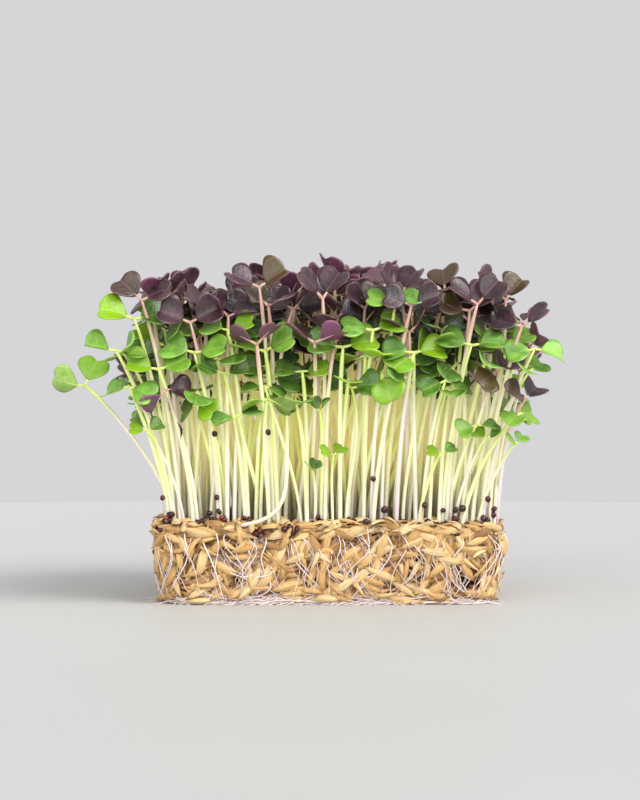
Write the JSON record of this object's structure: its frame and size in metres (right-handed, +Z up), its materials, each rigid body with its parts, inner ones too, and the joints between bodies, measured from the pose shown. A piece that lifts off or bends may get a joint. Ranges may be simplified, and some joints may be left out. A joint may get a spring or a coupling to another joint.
{
  "type": "block of microgreens",
  "caption": "Freestanding block of mixed red and green microgreens, with their roots bound into a mat of cereal husks.",
  "frame": {"origin": "middle of the flat underside of the husk mat, where the block stands", "axes": "+X along the front to the right, +Y from front to back, +Z up along the stems"},
  "size_m": [0.1378, 0.1021, 0.097],
  "materials": {
    "husk_mat": "dry golden husks",
    "purple_sprouts": "satin purple leaves on pale stems",
    "green_sprouts": "satin green leaves on pale stems"
  },
  "bodies": {
    "root": {"green_sprouts_00": "green_sprouts", "green_sprouts_01": "green_sprouts", "green_sprouts_02": "green_sprouts", "green_sprouts_03": "green_sprouts", "green_sprouts_04": "green_sprouts", "green_sprouts_05": "green_sprouts", "green_sprouts_06": "green_sprouts", "green_sprouts_07": "green_sprouts", "green_sprouts_08": "green_sprouts", "green_sprouts_09": "green_sprouts", "green_sprouts_10": "green_sprouts", "green_sprouts_11": "green_sprouts", "green_sprouts_12": "green_sprouts", "green_sprouts_13": "green_sprouts", "green_sprouts_14": "green_sprouts", "green_sprouts_15": "green_sprouts", "green_sprouts_16": "green_sprouts", "green_sprouts_17": "green_sprouts", "husk_mat": "husk_mat", "purple_sprouts_00": "purple_sprouts", "purple_sprouts_01": "purple_sprouts", "purple_sprouts_02": "purple_sprouts", "purple_sprouts_03": "purple_sprouts", "purple_sprouts_04": "purple_sprouts", "purple_sprouts_05": "purple_sprouts", "purple_sprouts_06": "purple_sprouts", "purple_sprouts_07": "purple_sprouts", "purple_sprouts_08": "purple_sprouts", "purple_sprouts_09": "purple_sprouts", "purple_sprouts_10": "purple_sprouts", "purple_sprouts_11": "purple_sprouts", "purple_sprouts_12": "purple_sprouts", "purple_sprouts_13": "purple_sprouts", "purple_sprouts_14": "purple_sprouts", "purple_sprouts_15": "purple_sprouts", "purple_sprouts_16": "purple_sprouts", "purple_sprouts_17": "purple_sprouts", "purple_sprouts_18": "purple_sprouts", "purple_sprouts_19": "purple_sprouts", "purple_sprouts_20": "purple_sprouts", "purple_sprouts_21": "purple_sprouts", "purple_sprouts_22": "purple_sprouts", "purple_sprouts_23": "purple_sprouts"}
  },
  "joints": []
}
